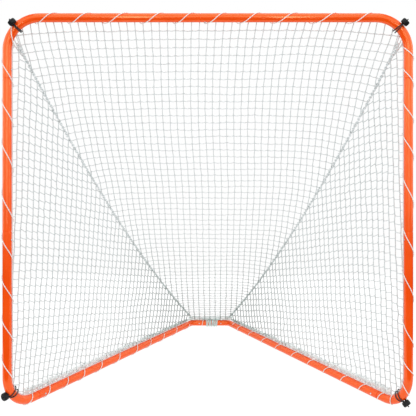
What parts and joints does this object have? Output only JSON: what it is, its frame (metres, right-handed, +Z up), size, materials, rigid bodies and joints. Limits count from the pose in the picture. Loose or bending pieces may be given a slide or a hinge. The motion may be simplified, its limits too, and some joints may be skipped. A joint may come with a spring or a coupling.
{
  "type": "lacrosse goal",
  "caption": "Backyard lacrosse goal: a tube frame with a square mouth and a tapering base, hung with a sagging back net and side nets laced to the tubes.",
  "frame": {"origin": "on the floor, in the goal's plane of symmetry, midway between the posts' axes and the rear bar's axis", "axes": "+Z up; +Y from the mouth towards the rear bar; +X to the right for someone who looks into the mouth"},
  "size_m": [1.9335, 1.5907, 1.8768],
  "materials": {
    "orange_enamel": "orange powder coat, semi-gloss",
    "white_net": "white knotted cord netting",
    "white_lacing": "white twisted cord",
    "black_moulding": "black moulded ball, matt",
    "black_elastic": "black covered elastic cord",
    "zinc": "bright zinc-plated spring steel"
  },
  "bodies": {
    "goal": {"top_corner_tube_left": "orange_enamel", "middle_post_left": "orange_enamel", "bottom_corner_tube_left": "orange_enamel", "rail_tube_left": "orange_enamel", "side_net_left": "white_net", "seam_cord_left": "white_lacing", "lacing_post_left": "white_lacing", "lacing_rail_left": "white_lacing", "bungee_ball_top_left": "black_moulding", "bungee_loop_top_left": "black_elastic", "bungee_ball_bottom_left": "black_moulding", "bungee_loop_bottom_left": "black_elastic", "top_corner_tube_right": "orange_enamel", "middle_post_right": "orange_enamel", "bottom_corner_tube_right": "orange_enamel", "rail_tube_right": "orange_enamel", "side_net_right": "white_net", "seam_cord_right": "white_lacing", "lacing_post_right": "white_lacing", "lacing_rail_right": "white_lacing", "bungee_ball_top_right": "black_moulding", "bungee_loop_top_right": "black_elastic", "bungee_ball_bottom_right": "black_moulding", "bungee_loop_bottom_right": "black_elastic", "rear_bar": "orange_enamel", "back_net": "white_net", "lacing_crossbar": "white_lacing", "lacing_rear_bar": "white_lacing", "button_spring_crossbar": "zinc", "button_spring_upper_post_left": "zinc", "button_spring_lower_post_left": "zinc", "button_spring_rail_left": "zinc", "button_spring_rear_bar_left": "zinc", "button_spring_upper_post_right": "zinc", "button_spring_lower_post_right": "zinc", "button_spring_rail_right": "zinc", "button_spring_rear_bar_right": "zinc"},
    "button_crossbar": {"snap_button_crossbar": "zinc"},
    "button_upper_post_left": {"snap_button_upper_post_left": "zinc"},
    "button_lower_post_left": {"snap_button_lower_post_left": "zinc"},
    "button_rail_left": {"snap_button_rail_left": "zinc"},
    "button_rear_bar_left": {"snap_button_rear_bar_left": "zinc"},
    "button_upper_post_right": {"snap_button_upper_post_right": "zinc"},
    "button_lower_post_right": {"snap_button_lower_post_right": "zinc"},
    "button_rail_right": {"snap_button_rail_right": "zinc"},
    "button_rear_bar_right": {"snap_button_rear_bar_right": "zinc"}
  },
  "joints": [
    {"name": "press_crossbar", "type": "slide", "parent": "goal", "child": "button_crossbar", "axis": [0, 0, 1], "range_m": [0, 0.0052], "stiffness_N_per_m": 2500, "springref_m": -0.004, "deforming": ["button_spring_crossbar"]},
    {"name": "press_upper_post_left", "type": "slide", "parent": "goal", "child": "button_upper_post_left", "axis": [-1, 0, 0], "range_m": [0, 0.0052], "stiffness_N_per_m": 2500, "springref_m": -0.004, "deforming": ["button_spring_upper_post_left"]},
    {"name": "press_lower_post_left", "type": "slide", "parent": "goal", "child": "button_lower_post_left", "axis": [-1, 0, 0], "range_m": [0, 0.0052], "stiffness_N_per_m": 2500, "springref_m": -0.004, "deforming": ["button_spring_lower_post_left"]},
    {"name": "press_rail_left", "type": "slide", "parent": "goal", "child": "button_rail_left", "axis": [-0.8859, 0.4639, 0], "range_m": [0, 0.0052], "stiffness_N_per_m": 2500, "springref_m": -0.004, "deforming": ["button_spring_rail_left"]},
    {"name": "press_rear_bar_left", "type": "slide", "parent": "goal", "child": "button_rear_bar_left", "axis": [0, 1, 0], "range_m": [0, 0.0052], "stiffness_N_per_m": 2500, "springref_m": -0.004, "deforming": ["button_spring_rear_bar_left"]},
    {"name": "press_upper_post_right", "type": "slide", "parent": "goal", "child": "button_upper_post_right", "axis": [1, 0, 0], "range_m": [0, 0.0052], "stiffness_N_per_m": 2500, "springref_m": -0.004, "deforming": ["button_spring_upper_post_right"]},
    {"name": "press_lower_post_right", "type": "slide", "parent": "goal", "child": "button_lower_post_right", "axis": [1, 0, 0], "range_m": [0, 0.0052], "stiffness_N_per_m": 2500, "springref_m": -0.004, "deforming": ["button_spring_lower_post_right"]},
    {"name": "press_rail_right", "type": "slide", "parent": "goal", "child": "button_rail_right", "axis": [0.8859, 0.4639, 0], "range_m": [0, 0.0052], "stiffness_N_per_m": 2500, "springref_m": -0.004, "deforming": ["button_spring_rail_right"]},
    {"name": "press_rear_bar_right", "type": "slide", "parent": "goal", "child": "button_rear_bar_right", "axis": [0, 1, 0], "range_m": [0, 0.0052], "stiffness_N_per_m": 2500, "springref_m": -0.004, "deforming": ["button_spring_rear_bar_right"]}
  ]
}
